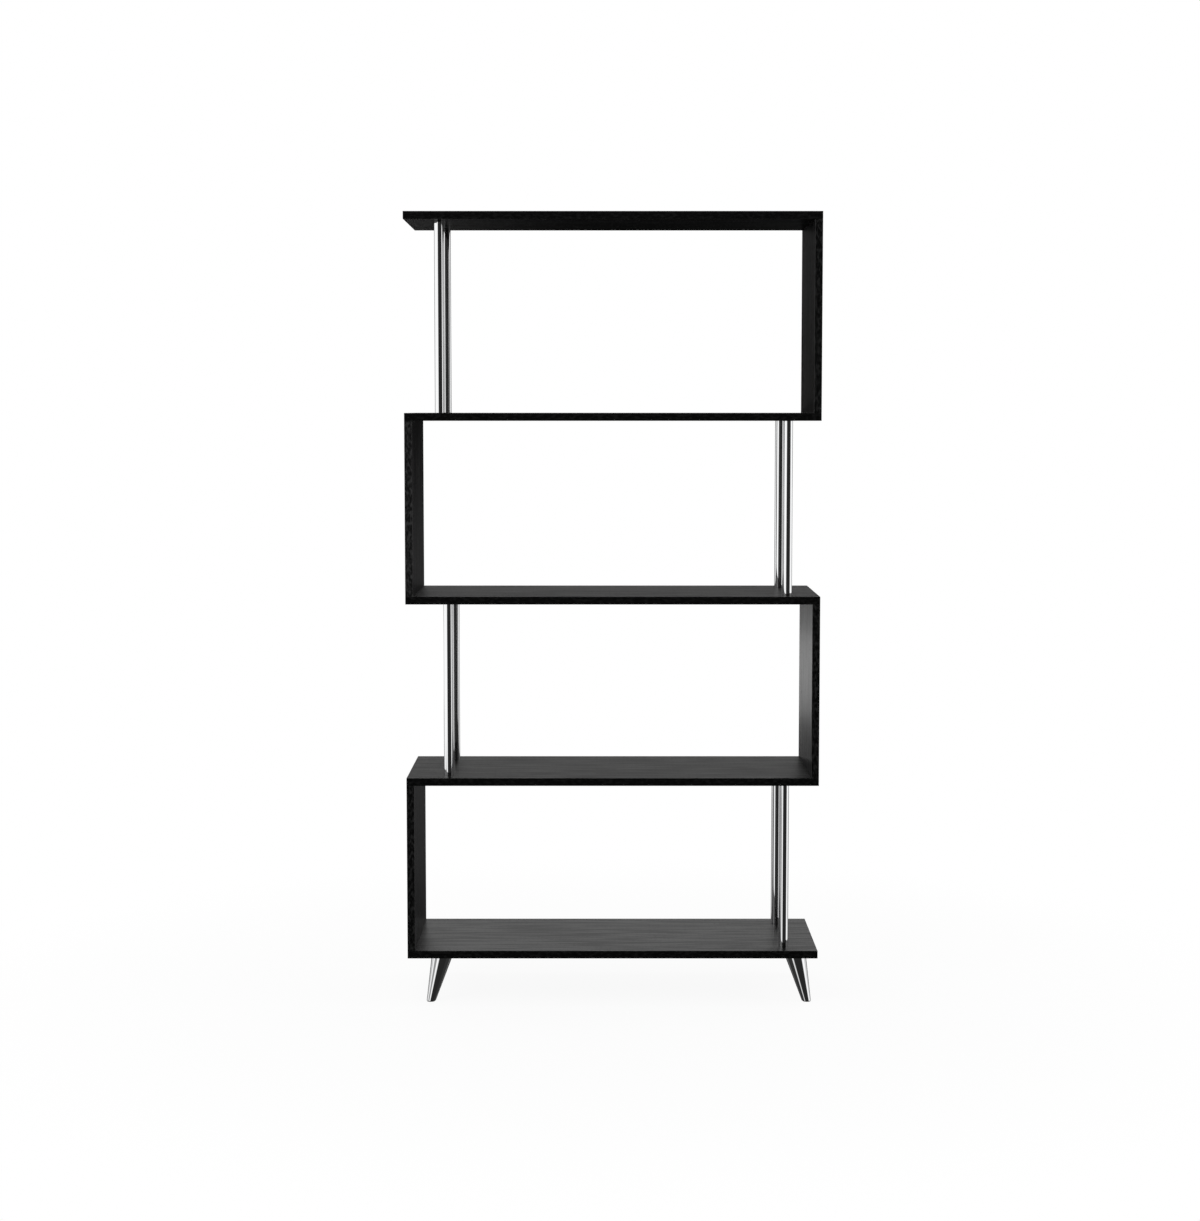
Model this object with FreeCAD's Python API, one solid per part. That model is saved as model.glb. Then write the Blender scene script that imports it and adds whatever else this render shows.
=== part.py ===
import FreeCAD, Part
import math
import os
from collections import defaultdict, namedtuple

from FreeCAD import Placement, Rotation, Vector

# Zigzag bookshelf, in millimetres. Five full-width boards are held apart by side panels that change
# sides from bay to bay, a pair of chrome tubes carries the open side of each bay, and four splayed,
# tapered chrome legs carry the base shelf. X runs left to right as seen from the front, Y runs from
# front to rear and Z up. The origin is on the floor, under the middle of the boards.

# Boards, side panels and the bands glued on their edges
BOARD_WIDTH = 800.0
BOARD_DEPTH = 300.0
BOARD_THICKNESS = 15.0
PANEL_THICKNESS = 15.0
BAND_THICKNESS = 1.0
BAND_ROUND = 0.6

# Clear height of each bay
BOTTOM_BAY_HEIGHT = 325.0
LOWER_BAY_HEIGHT = 338.0
UPPER_BAY_HEIGHT = 338.0
TOP_BAY_HEIGHT = 368.0

# Chrome tubes: the setback runs from the boards' front or rear edge, an inset from their end
TUBE_DIAMETER = 19.0
TUBE_WALL = 1.2
TUBE_RIM_CHAMFER = 0.4
TUBE_SETBACK = 45.0
BOTTOM_BAY_TUBE_INSET = 64.0
LOWER_BAY_TUBE_INSET = 80.0
UPPER_BAY_TUBE_INSET = 61.0
TOP_BAY_TUBE_INSET = 66.0

# Legs: setback and insets as for the tubes, to the point where the leg's axis meets the base shelf
LEG_HEIGHT = 96.0
LEG_SPLAY_DEGREES = 13.6
LEG_TOP_DIAMETER = 41.5
LEG_FOOT_DIAMETER = 17.0
LEG_WALL = 1.5
LEG_SETBACK = 48.0
LEFT_LEG_INSET = 65.0
RIGHT_LEG_INSET = 40.0
LEG_PLATE_BORDER = 9.0
LEG_PLATE_THICKNESS = 2.5
LEG_PLATE_CORNER = 6.0
LEG_SCREW_EDGE = 7.5
GLIDE_THICKNESS = 1.5
GLIDE_SETBACK = 0.8
GLIDE_PLUG_LENGTH = 8.0

# Wood screws that hold the legs
SCREW_DIAMETER = 4.0
SCREW_TIP_DIAMETER = 1.0
SCREW_TIP_LENGTH = 2.5
SCREW_HEAD_DIAMETER = 8.0
SCREW_HEAD_HEIGHT = 2.4
SCREW_HEAD_ROUND = 1.2
SCREW_DRIVE_SPAN = 4.4
SCREW_DRIVE_WIDTH = 1.0
SCREW_DRIVE_DEPTH = 1.4

# Threaded plugs in the tube ends and the bolts that hold them
PLUG_LENGTH = 20.0
PLUG_CHAMFER = 0.8
BOLT_DIAMETER = 6.0
BOLT_REACH = 15.0
BOLT_TIP_DIAMETER = 2.0
BOLT_TIP_LENGTH = 3.0
BOLT_HEAD_DIAMETER = 12.0
BOLT_HEAD_RECESS = 0.2
BOLT_SOCKET_WIDTH = 4.0
BOLT_SOCKET_DEPTH = 2.2

# Dowels in the panel ends, each spaced inward from a cam bolt
DOWEL_DIAMETER = 8.0
DOWEL_PANEL_LENGTH = 20.0
DOWEL_CHAMFER = 0.8
DOWEL_SPACING = 32.0

# Cam fittings in the panel ends: the reach runs from the panel's end to the middle of the cam
CAM_SETBACK = 60.0
CAM_REACH = 34.0
CAM_DIAMETER = 15.0
CAM_BACK_WALL = 2.5
CAM_PLAY = 0.5
CAM_DRIVE_SPAN = 7.0
CAM_DRIVE_WIDTH = 1.8
CAM_DRIVE_DEPTH = 1.0
CAM_BOLT_DIAMETER = 6.0
CAM_BOLT_NECK_DIAMETER = 4.5
CAM_BOLT_HEAD_DIAMETER = 7.0
CAM_BOLT_HEAD_LENGTH = 3.0
CAP_THICKNESS = 1.2
CAP_STEM_LENGTH = 0.8
CAP_ROUND = 0.3

# Room around a fastener, free depth past its tip, and wood left under a blind hole
FIT = 0.1
TIP_GAP = 1.0
BLIND_FLOOR = 4.0

# Sizes that follow from the ones above
BLIND_DEPTH = BOARD_THICKNESS - BLIND_FLOOR
BAND_ARRIS = min(BAND_ROUND, BAND_THICKNESS - FIT)
CAM_DEPTH = PANEL_THICKNESS - CAM_BACK_WALL
SPLAY = math.radians(LEG_SPLAY_DEGREES)
LEG_SLOPE = (LEG_TOP_DIAMETER - LEG_FOOT_DIAMETER) / 2 * math.cos(SPLAY) / LEG_HEIGHT
LEG_PLATE_SIZE = LEG_TOP_DIAMETER / math.cos(SPLAY) + 2 * LEG_PLATE_BORDER

LEFT, RIGHT = -1, 1
FRONT, REAR = -1, 1
UP, DOWN = Vector(0, 0, 1), Vector(0, 0, -1)
TOUCH = 1e-6

BOARD_NAMES = ("base_shelf", "lower_shelf", "middle_shelf", "upper_shelf", "top_board")
Bay = namedtuple("Bay", "name floor ceiling panel_side tube_x board_below board_above")
PanelEnd = namedtuple("PanelEnd", "bay height inward board")
Leg = namedtuple("Leg", "name side x y")


# Plain shapes

def block(x_ends, y_ends, z_ends):
    """Box between two ends on each axis, given in either order."""
    lows = [min(ends) for ends in (x_ends, y_ends, z_ends)]
    sizes = [max(ends) - min(ends) for ends in (x_ends, y_ends, z_ends)]
    return Part.makeBox(*sizes, Vector(*lows))


def rod(diameter, start, end):
    """Cylinder along Z between two heights."""
    return Part.makeCylinder(diameter / 2, end - start, Vector(0, 0, start))


def taper(start_diameter, end_diameter, start, end):
    """Cone frustum along Z between two heights."""
    return Part.makeCone(start_diameter / 2, end_diameter / 2, end - start, Vector(0, 0, start))


def cross(span, width, start, end):
    """Cross-shaped prism along Z, as of a driver recess."""
    arm = block((-span / 2, span / 2), (-width / 2, width / 2), (start, end))
    other_arm = block((-width / 2, width / 2), (-span / 2, span / 2), (start, end))
    return arm.fuse(other_arm).removeSplitter()


def hexagon(width_across_flats, start, end):
    """Six-sided prism along Z."""
    corner = Vector(width_across_flats / 2 / math.cos(math.radians(30)), 0, start)
    corners = [Rotation(UP, 60 * turn).multVec(corner) for turn in range(6)]
    return Part.Face(Part.makePolygon(corners + corners[:1])).extrude(UP * (end - start))


def edges_where(shape, wanted):
    """Edges whose middle point meets a condition."""
    return [edge for edge in shape.Edges if wanted(edge.CenterOfMass)]


def placed(shape, position, axis, heading=None):
    """Copy of a shape drawn at the origin, with its +Z turned to axis and its +X to heading."""
    copy = shape.copy()
    if heading is None:
        turn = Rotation(UP, axis)
    else:
        turn = Rotation(heading, axis.cross(heading), axis, "ZXY")
    copy.Placement = Placement(position, turn)
    return copy


def level_slice(shape, low, high):
    """The part of a shape between two heights."""
    box = shape.BoundBox
    return shape.common(block((box.XMin, box.XMax), (box.YMin, box.YMax), (low, high)))


# Layout

def front_and_rear(setback):
    """Y at one setback from the front edge and from the rear edge."""
    return [end * (BOARD_DEPTH / 2 - setback) for end in (FRONT, REAR)]


def make_bays():
    """Bays from the base up, each with its panel's side and the X of its tubes on the other side."""
    layout = (
        ("bottom_bay", BOTTOM_BAY_HEIGHT, LEFT, BOTTOM_BAY_TUBE_INSET),
        ("lower_bay", LOWER_BAY_HEIGHT, RIGHT, LOWER_BAY_TUBE_INSET),
        ("upper_bay", UPPER_BAY_HEIGHT, LEFT, UPPER_BAY_TUBE_INSET),
        ("top_bay", TOP_BAY_HEIGHT, RIGHT, TOP_BAY_TUBE_INSET),
    )
    bays = []
    floor = LEG_HEIGHT + BOARD_THICKNESS
    for (name, height, side, inset), below, above in zip(layout, BOARD_NAMES, BOARD_NAMES[1:]):
        tube_x = -side * (BOARD_WIDTH / 2 - inset)
        bays.append(Bay(name, floor, floor + height, side, tube_x, below, above))
        floor += height + BOARD_THICKNESS
    return bays


def make_legs():
    """The four legs, with the spot where each leg's axis meets the base shelf."""
    legs = []
    for side, side_name, inset in ((LEFT, "left", LEFT_LEG_INSET), (RIGHT, "right", RIGHT_LEG_INSET)):
        for y, end_name in zip(front_and_rear(LEG_SETBACK), ("front", "rear")):
            legs.append(Leg(f"{end_name}_{side_name}_leg", side, side * (BOARD_WIDTH / 2 - inset), y))
    return legs


def panel_ends(bay):
    """A panel's lower and upper end: the height, the way into the panel and the board it meets."""
    lower_end = PanelEnd(bay, bay.floor, UP, bay.board_below)
    upper_end = PanelEnd(bay, bay.ceiling, DOWN, bay.board_above)
    return [lower_end, upper_end]


def panel_faces(bay):
    """X of the outer and the inner face of a bay's panel."""
    outer = bay.panel_side * BOARD_WIDTH / 2
    return outer, outer - bay.panel_side * PANEL_THICKNESS


def panel_spots(end, setback):
    """Front and rear points on a panel's end, in the middle of its thickness."""
    middle = sum(panel_faces(end.bay)) / 2
    return [Vector(middle, y, end.height) for y in front_and_rear(setback)]


def tube_spots(bay, height):
    """Points on the axes of a bay's front and rear tubes, at one height."""
    return [Vector(bay.tube_x, y, height) for y in front_and_rear(TUBE_SETBACK)]


def screw_spots(leg):
    """Points on the underside of a leg's plate where its four screws enter."""
    reach = LEG_PLATE_SIZE / 2 - LEG_SCREW_EDGE
    height = LEG_HEIGHT - LEG_PLATE_THICKNESS
    return [Vector(leg.x + dx * reach, leg.y + dy * reach, height) for dx in (-1, 1) for dy in (-1, 1)]


# Boards, panels and edge bands

def board_core(underside):
    """A shelf board inside its edge band, before its holes are drilled."""
    half_width = BOARD_WIDTH / 2 - BAND_THICKNESS
    half_depth = BOARD_DEPTH / 2 - BAND_THICKNESS
    heights = (underside, underside + BOARD_THICKNESS)
    return block((-half_width, half_width), (-half_depth, half_depth), heights)


def board_band(underside):
    """A board's edge band: full-width strips front and rear, and end strips between them."""
    heights = (underside, underside + BOARD_THICKNESS)
    half_width = BOARD_WIDTH / 2
    half_depth = BOARD_DEPTH / 2
    glue_line = half_depth - BAND_THICKNESS
    strips = []
    for end in (FRONT, REAR):
        strip = block((-half_width, half_width), (end * glue_line, end * half_depth), heights)
        arrises = edges_where(strip, lambda middle: abs(middle.y) > glue_line + TOUCH)
        strips.append(strip.makeFillet(BAND_ARRIS, arrises))
    for side in (LEFT, RIGHT):
        thickness = (side * (half_width - BAND_THICKNESS), side * half_width)
        strip = block(thickness, (FIT - glue_line, glue_line - FIT), heights)
        arrises = edges_where(
            strip, lambda middle: abs(middle.x) > half_width - TOUCH and abs(middle.y) < TOUCH)
        strips.append(strip.makeFillet(BAND_ARRIS, arrises))
    return strips


def panel_core(bay):
    """A side panel between its edge bands, before its holes are drilled."""
    half_depth = BOARD_DEPTH / 2 - BAND_THICKNESS
    return block(panel_faces(bay), (-half_depth, half_depth), (bay.floor, bay.ceiling))


def panel_band(bay):
    """The front and rear edge band of a panel."""
    half_depth = BOARD_DEPTH / 2
    panel_middle = sum(panel_faces(bay)) / 2
    strips = []
    for end in (FRONT, REAR):
        thickness = (end * (half_depth - BAND_THICKNESS), end * half_depth)
        strip = block(panel_faces(bay), thickness, (bay.floor, bay.ceiling))
        arrises = edges_where(
            strip,
            lambda middle: abs(middle.y) > half_depth - TOUCH and abs(middle.x - panel_middle) > TOUCH)
        strips.append(strip.makeFillet(BAND_ARRIS, arrises))
    return strips


# Panel fasteners, drawn with the panel's end at the origin and the panel along +Z

def dowel():
    """Beech dowel with chamfered ends, half in the board and half in the panel."""
    body = rod(DOWEL_DIAMETER, TIP_GAP - BLIND_DEPTH, DOWEL_PANEL_LENGTH)
    rims = [edge for edge in body.Edges if isinstance(edge.Curve, Part.Circle)]
    return body.makeChamfer(DOWEL_CHAMFER, rims)


def dowel_hole():
    """Hole for a dowel, in the board and in the panel."""
    return rod(DOWEL_DIAMETER + 2 * FIT, -BLIND_DEPTH, DOWEL_PANEL_LENGTH + TIP_GAP)


def cam_bolt():
    """Cam bolt: thread in the board, shank in the panel, then a neck and a head inside the cam."""
    shank_end = CAM_REACH - CAM_DIAMETER / 2 - CAM_PLAY
    head_start = CAM_REACH - CAM_BOLT_HEAD_LENGTH / 2
    shank = rod(CAM_BOLT_DIAMETER, TIP_GAP - BLIND_DEPTH, shank_end)
    neck = rod(CAM_BOLT_NECK_DIAMETER, shank_end, head_start)
    head = rod(CAM_BOLT_HEAD_DIAMETER, head_start, head_start + CAM_BOLT_HEAD_LENGTH)
    return shank.fuse([neck, head]).removeSplitter()


def cam_bolt_hole():
    """Narrow hole for a cam bolt's thread in the board, and a wider one for its head in the panel."""
    thread = rod(CAM_BOLT_DIAMETER + 2 * FIT, -BLIND_DEPTH, 0)
    bore_end = CAM_REACH + CAM_BOLT_HEAD_LENGTH / 2 + TIP_GAP
    return thread.fuse(rod(CAM_BOLT_HEAD_DIAMETER + 2 * CAM_PLAY, 0, bore_end))


# Cam parts, drawn with the panel's outer face at the origin, the inside of the panel along +Z and
# the cam bolt arriving from +X

def cam_disc():
    """Locked cam: a hollow that holds the bolt's head, a slot for its neck and a cross recess."""
    bolt_depth = PANEL_THICKNESS / 2
    head_room = CAM_BOLT_HEAD_DIAMETER / 2 + CAM_PLAY
    neck_room = CAM_BOLT_NECK_DIAMETER / 2 + CAM_PLAY
    body = rod(CAM_DIAMETER - 2 * FIT, CAP_THICKNESS, CAM_DEPTH)
    hollow = rod(2 * (head_room + CAM_PLAY), bolt_depth - head_room, CAM_DEPTH)
    slot = block((0, CAM_DIAMETER), (-neck_room, neck_room), (bolt_depth - neck_room, CAM_DEPTH))
    drive = cross(CAM_DRIVE_SPAN, CAM_DRIVE_WIDTH, CAP_THICKNESS, CAP_THICKNESS + CAM_DRIVE_DEPTH)
    return body.cut([hollow, slot, drive])


def cam_cap():
    """Plastic cap, flush with the panel, whose stem plugs into the cam's recess."""
    disc = rod(CAM_DIAMETER - 2 * FIT, 0, CAP_THICKNESS)
    outer_rim = edges_where(disc, lambda middle: middle.z < TOUCH)
    stem_end = CAP_THICKNESS + CAP_STEM_LENGTH
    stem = cross(CAM_DRIVE_SPAN - 2 * FIT, CAM_DRIVE_WIDTH - 2 * FIT, CAP_THICKNESS, stem_end)
    return disc.makeFillet(CAP_ROUND, outer_rim).fuse(stem).removeSplitter()


def cam_pocket():
    """Round pocket for a cam and its cap."""
    return rod(CAM_DIAMETER, 0, CAM_DEPTH)


def at_cam(shape, end, spot):
    """Copy of a cam part in the panel's outer face, turned to the cam bolt that stands on spot."""
    outer = panel_faces(end.bay)[0]
    centre = Vector(outer, spot.y, spot.z) + end.inward * CAM_REACH
    return placed(shape, centre, Vector(-end.bay.panel_side, 0, 0), end.inward * -1)


# Tubes and their fasteners, drawn with the tube's end at the origin and the board along +Z

def tube(length):
    """Chrome tube with chamfered outer rims, drawn upward from its lower end."""
    outside = rod(TUBE_DIAMETER, 0, length)
    rims = [edge for edge in outside.Edges if isinstance(edge.Curve, Part.Circle)]
    return outside.makeChamfer(TUBE_RIM_CHAMFER, rims).cut(rod(TUBE_DIAMETER - 2 * TUBE_WALL, 0, length))


def tube_plug():
    """Threaded plug pressed into a tube's end and flush with it."""
    plug = rod(TUBE_DIAMETER - 2 * TUBE_WALL - 2 * FIT, -PLUG_LENGTH, 0)
    inner_rim = edges_where(plug, lambda middle: middle.z < TOUCH - PLUG_LENGTH)
    return plug.makeChamfer(PLUG_CHAMFER, inner_rim).cut(rod(BOLT_DIAMETER + 2 * FIT, -PLUG_LENGTH, 0))


def hanger_bolt():
    """Headless bolt: machine thread in the plug, pointed wood thread in the board above."""
    tip = BLIND_DEPTH - TIP_GAP
    shoulder = tip - BOLT_TIP_LENGTH
    point = taper(BOLT_DIAMETER, BOLT_TIP_DIAMETER, shoulder, tip)
    return rod(BOLT_DIAMETER, -BOLT_REACH, shoulder).fuse(point).removeSplitter()


def hanger_bolt_hole():
    """Blind hole for a hanger bolt."""
    return rod(BOLT_DIAMETER + 2 * FIT, 0, BLIND_DEPTH)


def base_bolt(room=0):
    """Countersunk bolt through the board below, into a tube's lower plug, grown all round by room."""
    face = BOARD_THICKNESS - BOLT_HEAD_RECESS
    neck = face - (BOLT_HEAD_DIAMETER - BOLT_DIAMETER) / 2
    head = taper(BOLT_DIAMETER + 2 * room, BOLT_HEAD_DIAMETER + 2 * room, neck, face)
    return rod(BOLT_DIAMETER + 2 * room, -BOLT_REACH, neck).fuse(head).removeSplitter()


def base_bolt_socket():
    """Six-sided key socket in the head of a base bolt."""
    face = BOARD_THICKNESS - BOLT_HEAD_RECESS
    return hexagon(BOLT_SOCKET_WIDTH, face - BOLT_SOCKET_DEPTH, face)


def base_bolt_hole():
    """Through hole with a countersink, whose mouth leaves the bolt's head just below the surface."""
    mouth = rod(BOLT_HEAD_DIAMETER + 2 * FIT, BOARD_THICKNESS - BOLT_HEAD_RECESS, BOARD_THICKNESS)
    return base_bolt(room=FIT).fuse(mouth)


# Legs

def leg_axis(leg):
    """Unit vector down the leg, which leans outward."""
    return Vector(leg.side * math.sin(SPLAY), 0, -math.cos(SPLAY))


def leg_cone(leg, skin):
    """Cone on the leg's axis, a skin thickness inside the leg, running past the floor and the shelf."""
    overrun = LEG_TOP_DIAMETER / 2 * math.tan(SPLAY)
    length = LEG_HEIGHT / math.cos(SPLAY) + 2 * overrun
    top_radius = LEG_TOP_DIAMETER / 2 + LEG_SLOPE * overrun - skin
    foot_radius = LEG_FOOT_DIAMETER / 2 - LEG_SLOPE * overrun - skin
    start = Vector(leg.x, leg.y, LEG_HEIGHT) - leg_axis(leg) * overrun
    return Part.makeCone(top_radius, foot_radius, length, start, leg_axis(leg))


def leg_shell(leg):
    """Hollow tapered leg, cut level at its plate and at its glide."""
    shell = leg_cone(leg, 0).cut(leg_cone(leg, LEG_WALL))
    return level_slice(shell, GLIDE_THICKNESS, LEG_HEIGHT - LEG_PLATE_THICKNESS)


def leg_plate(leg):
    """Square mounting plate with rounded corners and four screw holes."""
    half = LEG_PLATE_SIZE / 2
    underside = LEG_HEIGHT - LEG_PLATE_THICKNESS
    plate = block((leg.x - half, leg.x + half), (leg.y - half, leg.y + half), (underside, LEG_HEIGHT))
    corners = edges_where(plate, lambda middle: underside + TOUCH < middle.z < LEG_HEIGHT - TOUCH)
    holes = [placed(screw_hole(), spot, UP) for spot in screw_spots(leg)]
    return plate.makeFillet(LEG_PLATE_CORNER, corners).cut(holes)


def leg_glide(leg):
    """Plastic glide: a pad under the foot, and a plug on the leg's axis inside it."""
    foot = Vector(leg.x + leg.side * LEG_HEIGHT * math.tan(SPLAY), leg.y, 0)
    pad = placed(rod(LEG_FOOT_DIAMETER - 2 * GLIDE_SETBACK, 0, GLIDE_THICKNESS), foot, UP)
    narrowest_bore = LEG_FOOT_DIAMETER * (1 - LEG_SLOPE * math.tan(SPLAY)) - 2 * LEG_WALL
    plug = rod(narrowest_bore - 2 * FIT, -GLIDE_PLUG_LENGTH, 2 * GLIDE_PLUG_LENGTH)
    plug = placed(plug, foot, leg_axis(leg) * -1)
    plug = level_slice(plug, GLIDE_THICKNESS, GLIDE_THICKNESS + GLIDE_PLUG_LENGTH)
    return pad.fuse(plug).removeSplitter()


# Leg screws, drawn with the underside of the leg's plate at the origin and the board along +Z

def wood_screw():
    """Pan-head wood screw with a cross recess."""
    head = rod(SCREW_HEAD_DIAMETER, -SCREW_HEAD_HEIGHT, 0)
    rim = edges_where(head, lambda middle: middle.z < TOUCH - SCREW_HEAD_HEIGHT)
    recess_end = SCREW_DRIVE_DEPTH - SCREW_HEAD_HEIGHT
    recess = cross(SCREW_DRIVE_SPAN, SCREW_DRIVE_WIDTH, -SCREW_HEAD_HEIGHT, recess_end)
    head = head.makeFillet(SCREW_HEAD_ROUND, rim).cut(recess)
    tip = LEG_PLATE_THICKNESS + BLIND_DEPTH - TIP_GAP
    shoulder = tip - SCREW_TIP_LENGTH
    point = taper(SCREW_DIAMETER, SCREW_TIP_DIAMETER, shoulder, tip)
    return head.fuse([rod(SCREW_DIAMETER, 0, shoulder), point]).removeSplitter()


def screw_hole():
    """Hole for a leg screw, through the plate and into the base shelf."""
    return rod(SCREW_DIAMETER + 2 * FIT, 0, LEG_PLATE_THICKNESS + BLIND_DEPTH)


# Assembly: nodes holds the solids of each node, holes the cutters of each board and panel

def add_panel(bay, nodes, holes):
    """A bay's side panel, its edge band, and the dowels and cam fittings at its two ends."""
    panel = f"{bay.name}_panel"
    for end in panel_ends(bay):
        for spot in panel_spots(end, CAM_SETBACK + DOWEL_SPACING):
            nodes["panel_dowels"].append(placed(dowel(), spot, end.inward))
            for drilled in (panel, end.board):
                holes[drilled].append(placed(dowel_hole(), spot, end.inward))
        for spot in panel_spots(end, CAM_SETBACK):
            nodes["cam_bolts"].append(placed(cam_bolt(), spot, end.inward))
            nodes["cam_discs"].append(at_cam(cam_disc(), end, spot))
            nodes["cam_caps"].append(at_cam(cam_cap(), end, spot))
            holes[panel].append(at_cam(cam_pocket(), end, spot))
            for drilled in (panel, end.board):
                holes[drilled].append(placed(cam_bolt_hole(), spot, end.inward))
    nodes[panel].append(panel_core(bay).cut(holes[panel]))
    nodes[f"{panel}_band"] += panel_band(bay)


def add_tubes(bay, nodes, holes):
    """A bay's front and rear tubes, with the plugs and bolts at both ends of each."""
    for spot, end_name in zip(tube_spots(bay, bay.floor), ("front", "rear")):
        nodes[f"{bay.name}_{end_name}_tube"].append(placed(tube(bay.ceiling - bay.floor), spot, UP))
        nodes["tube_lower_plugs"].append(placed(tube_plug(), spot, DOWN))
        nodes["tube_base_bolts"].append(placed(base_bolt().cut(base_bolt_socket()), spot, DOWN))
        holes[bay.board_below].append(placed(base_bolt_hole(), spot, DOWN))
    for spot in tube_spots(bay, bay.ceiling):
        nodes["tube_upper_plugs"].append(placed(tube_plug(), spot, UP))
        nodes["tube_hanger_bolts"].append(placed(hanger_bolt(), spot, UP))
        holes[bay.board_above].append(placed(hanger_bolt_hole(), spot, UP))


def add_leg(leg, nodes, holes):
    """A leg with its mounting plate, its glide and the screws that hold it under the base shelf."""
    nodes[leg.name].append(leg_shell(leg))
    nodes[f"{leg.name}_plate"].append(leg_plate(leg))
    nodes[f"{leg.name}_glide"].append(leg_glide(leg))
    for spot in screw_spots(leg):
        nodes["leg_screws"].append(placed(wood_screw(), spot, UP))
        holes[BOARD_NAMES[0]].append(placed(screw_hole(), spot, UP))


def main():
    """Build every piece and write one file for each node."""
    nodes = defaultdict(list)
    holes = defaultdict(list)
    bays = make_bays()
    for bay in bays:
        add_panel(bay, nodes, holes)
        add_tubes(bay, nodes, holes)
    for leg in make_legs():
        add_leg(leg, nodes, holes)
    undersides = [bay.floor - BOARD_THICKNESS for bay in bays] + [bays[-1].ceiling]
    for board, underside in zip(BOARD_NAMES, undersides):
        nodes[board].append(board_core(underside).cut(holes[board]))
        nodes[f"{board}_band"] += board_band(underside)

    os.makedirs("parts", exist_ok=True)
    for node, solids in nodes.items():
        shape = solids[0] if len(solids) == 1 else Part.makeCompound(solids)
        shape.exportStep(f"parts/{node}.step")


main()
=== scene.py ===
import math
from collections import namedtuple

import bmesh
import bpy
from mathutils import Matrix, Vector


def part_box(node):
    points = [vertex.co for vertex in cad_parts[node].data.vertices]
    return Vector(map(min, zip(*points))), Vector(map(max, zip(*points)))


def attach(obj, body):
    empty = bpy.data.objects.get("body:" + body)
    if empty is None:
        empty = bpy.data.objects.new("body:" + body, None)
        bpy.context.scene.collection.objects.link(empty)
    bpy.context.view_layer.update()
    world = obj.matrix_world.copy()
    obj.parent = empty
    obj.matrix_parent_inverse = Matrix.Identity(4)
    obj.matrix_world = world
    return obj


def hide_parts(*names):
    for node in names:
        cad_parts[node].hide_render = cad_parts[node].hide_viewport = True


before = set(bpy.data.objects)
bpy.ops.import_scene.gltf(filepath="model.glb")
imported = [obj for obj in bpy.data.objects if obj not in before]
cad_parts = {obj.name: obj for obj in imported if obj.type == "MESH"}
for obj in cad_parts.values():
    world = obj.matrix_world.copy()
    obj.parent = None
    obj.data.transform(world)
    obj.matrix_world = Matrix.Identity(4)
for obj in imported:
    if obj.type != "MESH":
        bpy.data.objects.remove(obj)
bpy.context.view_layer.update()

# Zigzag bookshelf, in metres: black wood-grain boards and side panels, chrome tubes on the open side of
# each bay and four splayed chrome legs. The boards, panels, edge bands and fasteners are the frame's own
# pieces with finishes made here. The tubes, legs and glides are modelled here in finer detail.


def angles(*degrees):
    """Angles given in degrees, as radians."""
    return tuple(math.radians(angle) for angle in degrees)


def grey(level, tint=0.0):
    """Opaque grey, a little warmer or cooler by the tint."""
    return (level * (1 + tint), level, level * (1 - tint), 1.0)


# Names of the pieces
BAYS = ("bottom_bay", "lower_bay", "upper_bay", "top_bay")
ENDS = ("front", "rear")
SIDES = ("left", "right")
BODY = "root"
PALE_BAND = "upper_bay_panel_band"

# Tubes
TUBE_SIDES = 96
TUBE_WALL = 0.0012
TUBE_RIM = 0.0004

# Legs: the radii are those where the leaning axis meets the shelf and the floor
LEG_SIDES = 128
LEG_SPLAY = math.radians(13.6)
LEG_TOP_RADIUS = 0.02075
LEG_FOOT_RADIUS = 0.0085
LEG_WALL = 0.0015
LEG_RIM = 0.0003
LEG_OVERRUN = 0.006

# Glides
GLIDE_SIDES = 64
GLIDE_SETBACK = 0.0008
GLIDE_PAD_HEIGHT = 0.0015
GLIDE_PLUG_RADIUS = 0.0066
GLIDE_RING = 0.0022
GLIDE_SOLE_DEPTH = 0.0005
GLIDE_RIM = 0.0002

# Edges that turn by more than this are rounded or stay sharp, flatter ones are shaded smooth
SHARP_TURN = math.radians(35)
RIM_SEGMENTS = 3

# A face whose normal reaches this far up or down is an end face
FACING = 0.99

# Wood grain: length and width of the marks, the noise levels where they show, and their shares of the tone
RING_WIDTH = 0.013
RING_WANDER = 5.0
RING_DRIFT = (0.62, 0.07)
RING_SHARE = 0.2
FLAME = (0.11, 0.009)
FLAME_CONTRAST = (0.32, 0.68)
FLAME_SHARE = 0.55
FIBRE = (0.09, 0.0016)
FIBRE_CONTRAST = (0.3, 0.75)
FIBRE_SHARE = 0.25
PORE = (0.009, 0.0005)
PORE_CONTRAST = (0.56, 0.68)
PORES_BETWEEN_RINGS = 0.4

# Laminate over the grain
LAMINATE_DARK = grey(0.0006)
LAMINATE_PALE = grey(0.014, 0.03)
LAMINATE_ROUGHNESS = 0.278
LAMINATE_COAT = 0.6
LAMINATE_COAT_CONTRAST = (0.1, 0.9)
LAMINATE_RELIEF = 0.00004

# Edge bands: length and width of the marks, and the tones of the mottle, dark and pale, and of the painted
# highlight on the arris
MOTTLE = (0.010, 0.005)
MOTTLE_CONTRAST = (0.47, 0.62)
MOTTLE_SHARE = 0.6
FLECK = (0.006, 0.002)
FLECK_CONTRAST = (0.5, 0.66)
BAND_FIBRE = (0.05, 0.0007)
BAND_RELIEF = 0.00003
ARRIS_TURN = (0.05, 0.2)
BOARD_BAND = (0.0012, 0.0065, 0.015)
PANEL_BAND = (0.0012, 0.017, 0.08)
PALE_PANEL_BAND = (0.005, 0.035, 0.08)

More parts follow.
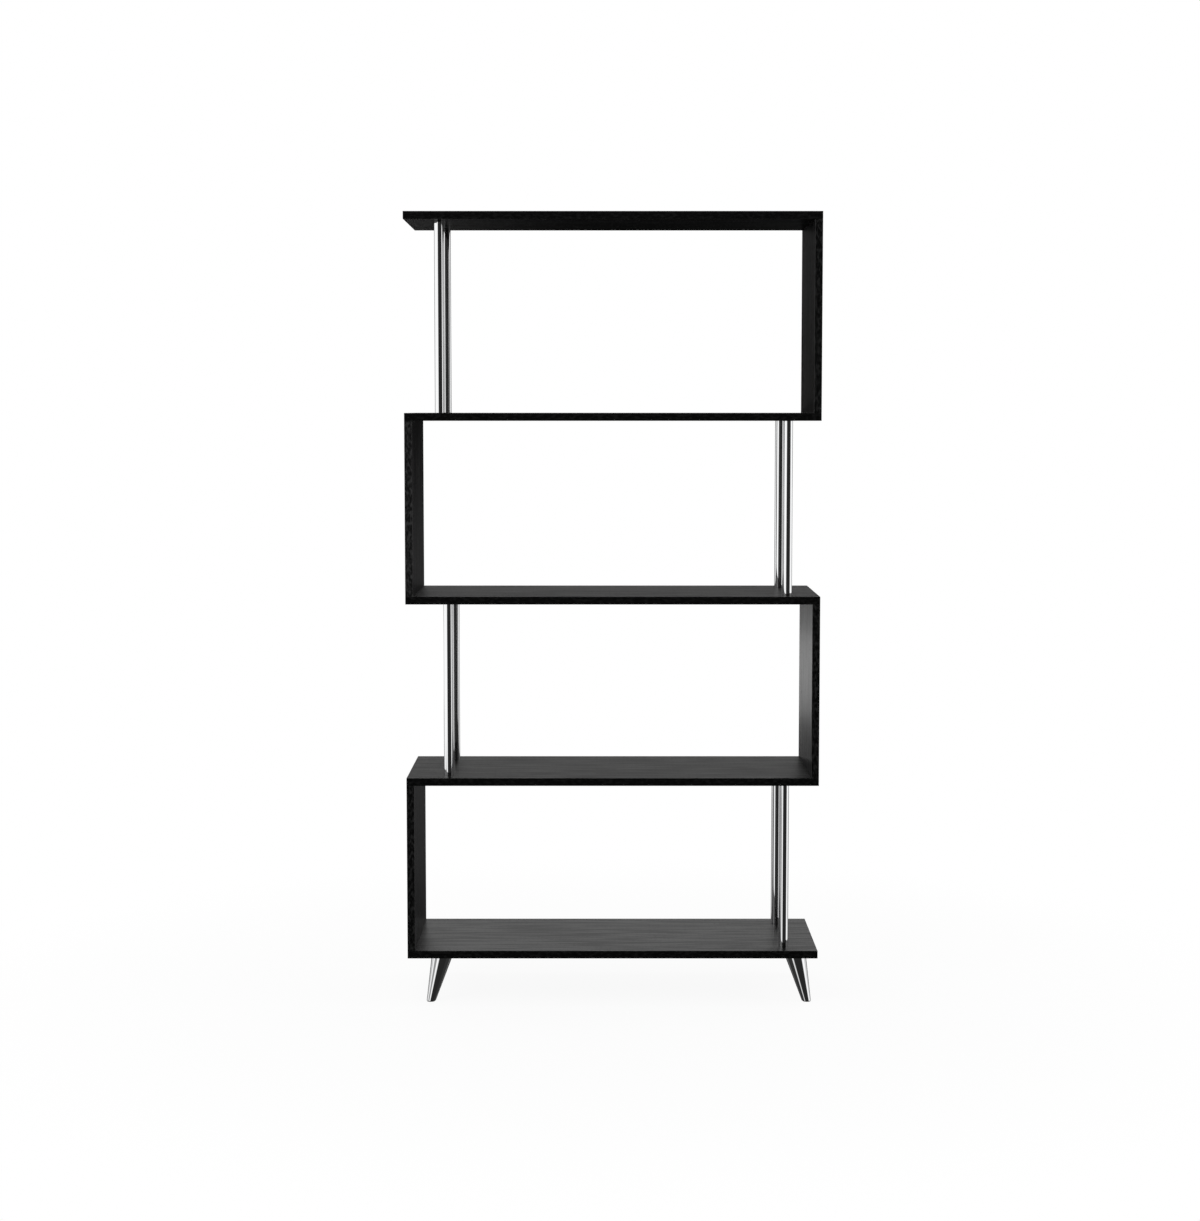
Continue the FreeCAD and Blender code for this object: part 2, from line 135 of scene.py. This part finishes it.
# Camera, fitted to the photograph's frame
CAMERA_PLACE = (-0.0246, -4.7802, 1.1643)
CAMERA_PITCH = math.radians(4.775)
CAMERA_LENS = 71.06
SENSOR_SIZE = 36.0

# White of the background, and of the floor away from the object
WHITE = grey(1.0)

# Floor: its grey, how white the camera sees it near the object, and where it turns all white
FLOOR_SIZE = 60.0
FLOOR_LEVEL = 0.85
FLOOR_WHITENESS = 0.93
FLOOR_FADE_START = 0.5
FLOOR_FADE_END = 1.5

# Studio as mirrors see it: angles run round from the camera's side to the right, and up from level
FLAG_SOFTNESS = math.radians(5)

# Black flag round the camera, for the dark line down each tube and leg
FRONT_FLAG = angles(-27, 65)
FRONT_FLAG_TOP = angles(11.5, 23)
FRONT_FLAG_DARKNESS = 0.98

# Black flag behind the object, for the boards and the panels' inner faces
REAR_FLAG_SIDE = angles(114, 144)
REAR_FLAG_TOP = angles(13.5, 22)
REAR_FLAG_DARKNESS = 0.996

# Dark ground, and a light strip down to it on the left
GROUND_FALL = angles(-36, -12)
GROUND_DARKNESS = 0.97
STRIP = angles(-48, -31)
STRIP_FALL = angles(-50, -30)

# Gaps between the lights at the sides, low down, and how dark each is
GAPS = (
    (angles(-130, -98), 0.5),
    (angles(-80, -50), 0.7),
    (angles(98, 130), 0.45),
)
GAP_FALL = angles(-9.5, -7.5)

# Light low behind on the left, for the lower bay's panel
LOW_LIGHT_SIDE = angles(-174.5, -140)
LOW_LIGHT_RISE = angles(-7.4, -6.3)
LOW_LIGHT_FALL = angles(-5.6, -3.6)
LOW_LIGHT_LEVEL = 0.8

# Faint lights behind: the spill on the right for the left panels, the glow on the left for the top panel
SPILL_SIDE = angles(140, 173)
SPILL_HEIGHT = angles(-11, -2.9)
SPILL_SOFTNESS = math.radians(2.5)
SPILL_LEVEL = 0.09
GLOW_SIDE = angles(-168, -135)
GLOW_HEIGHT = angles(2.8, 7)
GLOW_SOFTNESS = math.radians(1.2)
GLOW_LEVEL = 0.13

# Ceiling, the light lost at a second reflection, and the even light on matt surfaces
DOME_LEVEL = 0.25
DOME_RISE = angles(28, 42)
ECHO_LOSS = 0.8
ECHO_TOP = angles(14, 20)
AMBIENT_LEVEL = 0.62

# Lamps: the level is the brightness of their faces, and mirrors show only some of them
Lamp = namedtuple("Lamp", "place aim width height level mirrored")
OBJECT_MIDDLE = (0, 0, 0.8)
LAMPS = {
    "key": Lamp((-2.6, -2.6, 2.6), OBJECT_MIDDLE, 1.6, 2.2, 4.4, False),
    "fill": Lamp((3.0, -0.9, 1.6), OBJECT_MIDDLE, 1.4, 2.2, 2.0, False),
    "overhead": Lamp((0, 0.3, 3.4), OBJECT_MIDDLE, 2.4, 1.8, 1.5, True),
    "rear_strip": Lamp((0, 1.6, 0.46), (0, 0, 0.46), 2.4, 0.22, 0.21, True),
}


# Shader arithmetic

class Nodes:
    """A node tree that is being wired."""

    def __init__(self, tree):
        self.tree = tree
        self.tree.nodes.clear()

    def add(self, kind, settings, inputs, output=0):
        """New node: its settings come first, then the values or links of its sockets."""
        node = self.tree.nodes.new(kind)
        for name, value in settings.items():
            setattr(node, name, value)
        for key, value in inputs.items():
            if isinstance(value, Value):
                self.tree.links.new(value.socket, node.inputs[key])
            else:
                node.inputs[key].default_value = value
        return Value(self, node.outputs[output]) if node.outputs else None

    def light_path(self, output):
        """What kind of ray arrives, or how often it was mirrored."""
        return self.add("ShaderNodeLightPath", {}, {}, output)


class Value:
    """A node's output in an expression, where arithmetic adds Math nodes."""

    def __init__(self, nodes, socket):
        self.nodes = nodes
        self.socket = socket

    def math(self, operation, *operands):
        return self.nodes.add("ShaderNodeMath", {"operation": operation}, dict(enumerate(operands)))

    def __add__(self, other):
        return self.math("ADD", self, other)

    def __radd__(self, other):
        return self.math("ADD", other, self)

    def __sub__(self, other):
        return self.math("SUBTRACT", self, other)

    def __rsub__(self, other):
        return self.math("SUBTRACT", other, self)

    def __mul__(self, other):
        return self.math("MULTIPLY", self, other)

    def __rmul__(self, other):
        return self.math("MULTIPLY", other, self)

    def __abs__(self):
        return self.math("ABSOLUTE", self)

    def larger(self, other):
        return self.math("MAXIMUM", self, other)

    def wave(self):
        """Sine of a phase counted in whole turns, as 0 to 1."""
        return self.math("SINE", self * math.tau) * 0.5 + 0.5

    def rise(self, low, high):
        """Smooth step from 0 at low to 1 at high."""
        ends = {"Value": self, "From Min": low, "From Max": high}
        return self.nodes.add("ShaderNodeMapRange", {"interpolation_type": "SMOOTHSTEP"}, ends)

    def within(self, low, high, softness):
        """1 between two bounds with soft edges, 0 outside them."""
        entry = self.rise(low - softness, low + softness)
        return entry * (1 - self.rise(high - softness, high + softness))

    def axis(self, letter):
        """The X, Y or Z of a vector."""
        return self.nodes.add("ShaderNodeSeparateXYZ", {}, {"Vector": self}, letter)


class Finish(Nodes):
    """A material that is being wired, with the object's own coordinates at hand."""

    def __init__(self, name):
        self.material = bpy.data.materials.new(name)
        self.material.use_nodes = True
        super().__init__(self.material.node_tree)
        self.place = self.add("ShaderNodeTexCoord", {}, {}, "Object")

    def noise(self, size, detail=2.0, vector=None):
        """Noise whose features have this size on X, Y and Z."""
        scale = [1 / length for length in size]
        place = self.add("ShaderNodeMapping", {}, {"Vector": vector or self.place, "Scale": scale})
        return self.add("ShaderNodeTexNoise", {}, {"Vector": place, "Scale": 1.0, "Detail": detail})

    def blend(self, factor, first, second):
        """Colour between two others."""
        return self.add("ShaderNodeMix", {"data_type": "RGBA"}, {0: factor, 6: first, 7: second}, 2)

    def bump(self, height, depth, strength):
        """Normal of a relief with this depth in metres."""
        return self.add("ShaderNodeBump", {}, {"Height": height, "Distance": depth, "Strength": strength})

    def surface(self, inputs):
        """Close the material with a principled shader that has these inputs."""
        shader = self.add("ShaderNodeBsdfPrincipled", {}, inputs)
        self.add("ShaderNodeOutputMaterial", {}, {"Surface": shader})
        return self.material


# Finishes

def wood_grain(name, along):
    """Black wood-grain laminate: growth rings, flames, fibres and pores drawn out along X or Z."""
    finish = Finish(name)

    def streaks(mark, detail=2.0):
        length, width = mark
        size = [width] * 3
        size["XYZ".index(along)] = length
        return finish.noise(size, detail)

    depth = finish.place.axis("Y") * (1 / RING_WIDTH)
    rings = (depth + streaks(RING_DRIFT) * RING_WANDER).wave()
    flames = streaks(FLAME, detail=3.0).rise(*FLAME_CONTRAST)
    fibres = streaks(FIBRE, detail=4.0).rise(*FIBRE_CONTRAST)
    porous = rings * (1 - PORES_BETWEEN_RINGS) + PORES_BETWEEN_RINGS
    pores = streaks(PORE).rise(*PORE_CONTRAST) * porous
    tone = (rings * RING_SHARE + flames * FLAME_SHARE + fibres * FIBRE_SHARE) * (1 - pores)
    relief = flames * 0.3 + fibres * 0.25 + rings * 0.2 - pores
    return finish.surface({
        "Base Color": finish.blend(tone * tone, LAMINATE_DARK, LAMINATE_PALE),
        "Roughness": LAMINATE_ROUGHNESS + flames * 0.03 + fibres * 0.02 + pores * 0.1,
        "Specular IOR Level": 0.4,
        "Coat Weight": tone.rise(*LAMINATE_COAT_CONTRAST) * LAMINATE_COAT,
        "Coat Roughness": 0.28,
        "Normal": finish.bump(relief, LAMINATE_RELIEF, strength=0.4),
    })


def edge_band(name, upright, dark, pale, arris_highlight):
    """Black edge band, mottled along a board's edges or up and down a panel's, with a painted highlight: a
    paler grey on the rounded arris.
    """
    finish = Finish(name)
    x, y, z = (finish.place.axis(letter) for letter in "XYZ")
    run, rise = (z, x + y) if upright else (x + y, z)
    place = finish.add("ShaderNodeCombineXYZ", {}, {"X": run, "Y": rise})

    def marks(mark, detail):
        return finish.noise((*mark, 1.0), detail, place)

    mottle = marks(MOTTLE, detail=3.0).rise(*MOTTLE_CONTRAST)
    flecks = marks(FLECK, detail=3.0).rise(*FLECK_CONTRAST)
    fibres = marks(BAND_FIBRE, detail=2.0)
    facing = finish.add("ShaderNodeNewGeometry", {}, {}, "Normal")
    across, deep, up = (abs(facing.axis(letter)) for letter in "XYZ")
    # Mask of the rounded arris, where a paler grey is painted on as a highlight
    arris = (1 - across.larger(deep).larger(up)).rise(*ARRIS_TURN)
    film = finish.blend(mottle * MOTTLE_SHARE + flecks * (1 - MOTTLE_SHARE), grey(dark), grey(pale))
    return finish.surface({
        "Base Color": finish.blend(arris, film, grey(arris_highlight)),
        "Roughness": 0.32 + fibres * 0.1,
        "Specular IOR Level": 0.11,
        "Normal": finish.bump(fibres * 0.5 + flecks * 0.5, BAND_RELIEF, strength=0.3),
    })


def chrome():
    """Polished chrome plate, drawn lengthwise, with a few wiped smudges."""
    finish = Finish("chrome")
    shade, shine = grey(0.92, -0.005), grey(0.96, -0.005)
    lines = finish.noise(size=(0.0015, 0.0015, 0.3))
    waves = finish.noise(size=(0.02, 0.02, 0.15), detail=1.0)
    smudges = finish.noise(size=(0.03, 0.03, 0.05), detail=3.0).rise(0.5, 0.75)
    return finish.surface({
        "Base Color": finish.blend(lines, shade, shine),
        "Metallic": 1.0,
        "Roughness": 0.03 + lines * 0.02 + smudges * 0.025,
        "Normal": finish.bump(waves, depth=0.00002, strength=0.5),
    })


def zinc():
    """Zinc-plated steel: crystal patches and a fine satin grain."""
    finish = Finish("zinc")
    dull, bright = grey(0.5, 0.01), grey(0.64, 0.02)
    crystals_per_metre = 420.0
    cell = finish.add(
        "ShaderNodeTexVoronoi", {}, {"Vector": finish.place, "Scale": crystals_per_metre}, "Color")
    patch = cell.axis("X")
    grain = finish.noise(size=(0.0004, 0.0004, 0.0004), detail=3.0)
    return finish.surface({
        "Base Color": finish.blend(patch, dull, bright),
        "Metallic": 1.0,
        "Roughness": 0.3 + patch * 0.12 + grain * 0.12,
        "Normal": finish.bump(grain, depth=0.00002, strength=0.2),
    })


def moulded_plastic():
    """Black moulded plastic with a fine spark-eroded texture and scuffs."""
    finish = Finish("black_plastic")
    black, scuffed = grey(0.008), grey(0.022)
    texture = finish.noise(size=(0.0003, 0.0003, 0.0003))
    scuffs = finish.noise(size=(0.004, 0.0008, 0.004), detail=3.0).rise(0.6, 0.75)
    return finish.surface({
        "Base Color": finish.blend(scuffs, black, scuffed),
        "Roughness": 0.42 + texture * 0.12 + scuffs * 0.1,
        "Normal": finish.bump(texture, depth=0.00003, strength=0.3),
    })


def beech():
    """Plain beech with short dark flecks along the dowel."""
    finish = Finish("beech")
    pale, brown = (0.56, 0.37, 0.21, 1.0), (0.38, 0.22, 0.11, 1.0)
    fibres = finish.noise(size=(0.0006, 0.0006, 0.02), detail=3.0)
    flecks = finish.noise(size=(0.0005, 0.0005, 0.004)).rise(0.6, 0.7)
    return finish.surface({
        "Base Color": finish.blend(fibres * 0.5 + flecks * 0.5, pale, brown),
        "Roughness": 0.5 + fibres * 0.2,
        "Normal": finish.bump(fibres, depth=0.00004, strength=0.3),
    })


# Modelling by hand

def begin(primitive, **sizes):
    """Add a primitive alone in the selection, with its place in its mesh, and open it for editing."""
    bpy.ops.object.select_all(action="DESELECT")
    primitive(**sizes)
    bpy.ops.object.transform_apply(location=True, rotation=True, scale=True)
    bpy.ops.object.mode_set(mode="EDIT")
    return bpy.context.active_object


def pick_faces(piece, wanted):
    """Select the faces whose normal meets a condition."""
    bpy.ops.mesh.select_mode(type="FACE")
    cage = bmesh.from_edit_mesh(piece.data)
    for face in cage.faces:
        face.select_set(bool(wanted(face.normal)))
    bmesh.update_edit_mesh(piece.data)


def round_sharp_edges(piece, width):
    """Round every sharp edge of a piece."""
    bpy.ops.mesh.select_mode(type="EDGE")
    cage = bmesh.from_edit_mesh(piece.data)
    for edge in cage.edges:
        edge.select_set(edge.is_manifold and edge.calc_face_angle() > SHARP_TURN)
    bmesh.update_edit_mesh(piece.data)
    bpy.ops.mesh.bevel(offset=width, segments=RIM_SEGMENTS, affect="EDGES")


def bore_through(piece, wall):
    """Turn a closed upright form into a hollow one with this wall."""
    pick_faces(piece, lambda normal: abs(normal.z) > FACING)
    bpy.ops.mesh.inset(thickness=wall)
    bpy.ops.mesh.bridge_edge_loops()


def end(piece, name):
    """Close the editing, shade the piece and name it."""
    bpy.ops.mesh.select_all(action="SELECT")
    bpy.ops.mesh.normals_make_consistent(inside=False)
    bpy.ops.object.mode_set(mode="OBJECT")
    bpy.ops.object.shade_smooth_by_angle(angle=SHARP_TURN)
    bpy.ops.object.modifier_add(type="WEIGHTED_NORMAL")
    piece.modifiers[-1].keep_sharp = True
    bpy.ops.object.modifier_apply(modifier=piece.modifiers[-1].name)
    piece.name = name
    piece.data.name = name
    return piece


def copy_of(piece, name, shift, mirrored=False):
    """Copy with its own mesh, moved over, or mirrored left to right first."""
    bpy.ops.object.select_all(action="DESELECT")
    piece.select_set(True)
    bpy.context.view_layer.objects.active = piece
    bpy.ops.object.duplicate(linked=False)
    copy = bpy.context.active_object
    bpy.ops.object.mode_set(mode="EDIT")
    bpy.ops.mesh.select_all(action="SELECT")
    if mirrored:
        bpy.ops.transform.mirror(constraint_axis=(True, False, False), center_override=(0, 0, 0))
    bpy.ops.transform.translate(value=shift)
    return end(copy, name)


def fit(piece, node, slot):
    """Let a modelled piece stand for its node, with the finish of its slot."""
    piece.data.materials.clear()
    piece.data.materials.append(SLOT_FINISHES[slot])
    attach(piece, BODY)
    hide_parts(node)


def model_tube(name, low, high):
    """Tube with a through bore and rounded rims, between two corners."""
    tube = begin(
        bpy.ops.mesh.primitive_cylinder_add, vertices=TUBE_SIDES, radius=(high.x - low.x) / 2,
        depth=high.z - low.z, location=(low + high) / 2)
    bore_through(tube, TUBE_WALL)
    round_sharp_edges(tube, TUBE_RIM)
    return end(tube, name)


def leg_place(leg):
    """Where a leg's axis meets the shelf: the middle of its plate's upper face."""
    low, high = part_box(f"{leg}_plate")
    return Vector(((low.x + high.x) / 2, (low.y + high.y) / 2, high.z))


def model_leg(name, node):
    """Left leg: a hollow cone on a leaning axis, cut level at the plate and at the glide."""
    low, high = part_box(node)
    top = leg_place(node)
    down = Vector((-math.sin(LEG_SPLAY), 0, -math.cos(LEG_SPLAY)))
    length = top.z / math.cos(LEG_SPLAY)
    flare = (LEG_TOP_RADIUS - LEG_FOOT_RADIUS) / length * LEG_OVERRUN
    leg = begin(
        bpy.ops.mesh.primitive_cone_add, vertices=LEG_SIDES, radius1=LEG_FOOT_RADIUS - flare,
        radius2=LEG_TOP_RADIUS + flare, depth=length + 2 * LEG_OVERRUN, location=top + down * length / 2,
        rotation=(0, LEG_SPLAY, 0))
    for height, away in ((low.z, -1), (high.z, 1)):
        bpy.ops.mesh.select_all(action="SELECT")
        bpy.ops.mesh.bisect(
            plane_co=(0, 0, height), plane_no=(0, 0, away), use_fill=True, clear_outer=True)
    bore_through(leg, LEG_WALL)
    round_sharp_edges(leg, LEG_RIM)
    return end(leg, name)


def model_glide(name, leg):
    """Glide of a left leg: a pad with a hollowed sole, and a plug that leans up into the foot."""
    foot = leg_place(leg)
    foot.x -= foot.z * math.tan(LEG_SPLAY)
    plug_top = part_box(f"{leg}_glide")[1].z
    pad_radius = LEG_FOOT_RADIUS - GLIDE_SETBACK
    glide = begin(
        bpy.ops.mesh.primitive_cylinder_add, vertices=GLIDE_SIDES, radius=pad_radius,
        depth=GLIDE_PAD_HEIGHT, location=(foot.x, foot.y, GLIDE_PAD_HEIGHT / 2))
    pick_faces(glide, lambda normal: normal.z > FACING)
    bpy.ops.mesh.inset(thickness=pad_radius - GLIDE_PLUG_RADIUS)
    rise = plug_top - GLIDE_PAD_HEIGHT
    lean = (rise * math.tan(LEG_SPLAY), 0, rise)
    bpy.ops.mesh.extrude_region_move(TRANSFORM_OT_translate={"value": lean})
    pick_faces(glide, lambda normal: normal.z < -FACING)
    bpy.ops.mesh.inset(thickness=GLIDE_RING)
    bpy.ops.mesh.extrude_region_move(TRANSFORM_OT_translate={"value": (0, 0, GLIDE_SOLE_DEPTH)})
    round_sharp_edges(glide, GLIDE_RIM)
    return end(glide, name)


# Camera, floor and light

def set_camera():
    """Camera at the photograph's viewpoint."""
    camera = bpy.data.cameras.new("camera")
    camera.sensor_width = SENSOR_SIZE
    camera.lens = CAMERA_LENS
    holder = bpy.data.objects.new("camera", camera)
    holder.location = CAMERA_PLACE
    holder.rotation_euler = (math.pi / 2 - CAMERA_PITCH, 0, 0)
    bpy.context.collection.objects.link(holder)
    bpy.context.scene.camera = holder


def lay_floor():
    """Pale floor that keeps the object's shadow, turns to the background's white and is clear from below."""
    bpy.ops.object.select_all(action="DESELECT")
    bpy.ops.mesh.primitive_plane_add(size=FLOOR_SIZE)
    floor = bpy.context.active_object
    floor.name = "floor"
    floor.visible_glossy = False
    finish = Finish("floor")
    x, y = (finish.place.axis(letter) for letter in "XY")
    away = (x * x + y * y).rise(FLOOR_FADE_START ** 2, FLOOR_FADE_END ** 2)
    seen = finish.light_path("Is Camera Ray")
    matt = finish.add("ShaderNodeBsdfDiffuse", {}, {"Color": grey(FLOOR_LEVEL)})
    glow = finish.add("ShaderNodeEmission", {}, {"Color": WHITE, "Strength": 1.0})
    whiteness = seen * (FLOOR_WHITENESS + away * (1 - FLOOR_WHITENESS))
    mixed = finish.add("ShaderNodeMixShader", {}, {0: whiteness, 1: matt, 2: glow})
    below = finish.add("ShaderNodeNewGeometry", {}, {}, "Backfacing")
    clear = finish.add("ShaderNodeBsdfTransparent", {}, {})
    one_sided = finish.add("ShaderNodeMixShader", {}, {0: below * seen, 1: mixed, 2: clear})
    finish.add("ShaderNodeOutputMaterial", {}, {"Surface": one_sided})
    floor.data.materials.append(finish.material)


def surround_with_studio():
    """White background for the eye. Mirrors see it too, with dark flags, a dark ground and low lights."""
    world = bpy.data.worlds.new("studio")
    world.use_nodes = True
    bpy.context.scene.world = world
    nodes = Nodes(world.node_tree)
    ray = nodes.add("ShaderNodeTexCoord", {}, {}, "Generated")
    x, y, z = (ray.axis(letter) for letter in "XYZ")
    around = x.math("ARCTAN2", x, y * -1)
    height = z.math("ARCSINE", z)
    camera = nodes.light_path("Is Camera Ray")
    mirrored = nodes.light_path("Is Glossy Ray").larger(nodes.light_path("Is Transmission Ray"))
    echo = nodes.light_path("Glossy Depth").rise(1, 2)

    def faint_light(sides, heights, softness, level):
        return around.within(*sides, FLAG_SOFTNESS) * height.within(*heights, softness) * level

    front_open = height.rise(*FRONT_FLAG_TOP) * (1 - echo)
    front_flag = around.within(*FRONT_FLAG, FLAG_SOFTNESS) * (1 - front_open)
    rear = abs(around).rise(*REAR_FLAG_SIDE)
    rear_flag = rear * (1 - height.rise(*REAR_FLAG_TOP))
    strip = around.within(*STRIP, FLAG_SOFTNESS) * height.rise(*STRIP_FALL)
    ground = (1 - height.rise(*GROUND_FALL)) * (1 - strip)
    gaps = sum(around.within(*sides, FLAG_SOFTNESS) * darkness for sides, darkness in GAPS)
    gaps = gaps * (1 - height.rise(*GAP_FALL))
    flags = (front_flag * FRONT_FLAG_DARKNESS).larger(rear_flag * REAR_FLAG_DARKNESS)
    dark = flags.larger(ground * GROUND_DARKNESS).larger(gaps)

    low_light = around.within(*LOW_LIGHT_SIDE, FLAG_SOFTNESS) * LOW_LIGHT_LEVEL
    low_light = low_light * height.rise(*LOW_LIGHT_RISE) * (1 - height.rise(*LOW_LIGHT_FALL))
    spill = faint_light(SPILL_SIDE, SPILL_HEIGHT, SPILL_SOFTNESS, SPILL_LEVEL)
    glow = faint_light(GLOW_SIDE, GLOW_HEIGHT, GLOW_SOFTNESS, GLOW_LEVEL)
    dark = dark * (1 - (low_light * (1 - echo)).larger(spill).larger(glow))

    dome = 1 - height.rise(*DOME_RISE) * (1 - DOME_LEVEL)
    loss = echo * ECHO_LOSS * rear.larger(1 - height.rise(*ECHO_TOP))
    shown = camera + mirrored * (1 - dark) * dome * (1 - loss)
    level = shown + (1 - camera.larger(mirrored)) * AMBIENT_LEVEL
    light = nodes.add("ShaderNodeBackground", {}, {"Color": WHITE, "Strength": level})
    nodes.add("ShaderNodeOutputWorld", {}, {"Surface": light})


def add_softbox(name, lamp):
    """Soft lamp that the camera doesn't see."""
    light = bpy.data.lights.new(name, "AREA")
    light.shape = "RECTANGLE"
    light.size = lamp.width
    light.size_y = lamp.height
    light.energy = lamp.level * math.pi * lamp.width * lamp.height
    holder = bpy.data.objects.new(name, light)
    holder.location = lamp.place
    holder.rotation_euler = (Vector(lamp.aim) - Vector(lamp.place)).to_track_quat("-Z", "Y").to_euler()
    holder.visible_camera = False
    holder.visible_glossy = lamp.mirrored
    bpy.context.collection.objects.link(holder)


# Finishes by material slot: boards have their grain along X, panels along Z
SLOT_FINISHES = {
    "zinc": zinc(),
    "black_plastic": moulded_plastic(),
    "beech": beech(),
    "chrome": chrome(),
}
GRAIN_FINISHES = {
    ("laminate", False): wood_grain("board_laminate", "X"),
    ("laminate", True): wood_grain("panel_laminate", "Z"),
    ("edge_band", False): edge_band("board_edge_band", False, *BOARD_BAND),
    ("edge_band", True): edge_band("panel_edge_band", True, *PANEL_BAND),
}
for name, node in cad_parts.items():
    slot = node.material_slots[0]
    kind = slot.material.name.split(".")[0]
    slot.material = SLOT_FINISHES.get(kind) or GRAIN_FINISHES[kind, "panel" in name]
pale_band_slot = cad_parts[PALE_BAND].material_slots[0]
pale_band_slot.material = edge_band("pale_edge_band", True, *PALE_PANEL_BAND)

# Tubes: the front one of each bay is modelled, the rear one is a copy
for bay in BAYS:
    front, rear = (f"{bay}_{place}_tube" for place in ENDS)
    front_tube = model_tube(f"polished_{front}", *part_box(front))
    rear_tube = copy_of(front_tube, f"polished_{rear}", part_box(rear)[0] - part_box(front)[0])
    fit(front_tube, front, "chrome")
    fit(rear_tube, rear, "chrome")

# Legs and glides: the front left ones are modelled, those that stay are copies
first_leg = f"{ENDS[0]}_{SIDES[0]}_leg"
leg_model = model_leg("leg_model", first_leg)
glide_model = model_glide("glide_model", first_leg)
for side in SIDES:
    mirrored = side != SIDES[0]
    for place in ENDS:
        leg = f"{place}_{side}_leg"
        shift = leg_place(leg) - leg_place(first_leg)
        if mirrored:
            shift.x += 2 * leg_place(first_leg).x
        leg_copy = copy_of(leg_model, f"polished_{leg}", shift, mirrored)
        glide_copy = copy_of(glide_model, f"moulded_{leg}_glide", shift, mirrored)
        fit(leg_copy, leg, "chrome")
        fit(glide_copy, f"{leg}_glide", "black_plastic")
bpy.data.objects.remove(leg_model)
bpy.data.objects.remove(glide_model)

# Camera, floor and light
bpy.context.scene.view_settings.view_transform = "Standard"
set_camera()
lay_floor()
surround_with_studio()
for name, lamp in LAMPS.items():
    add_softbox(name, lamp)
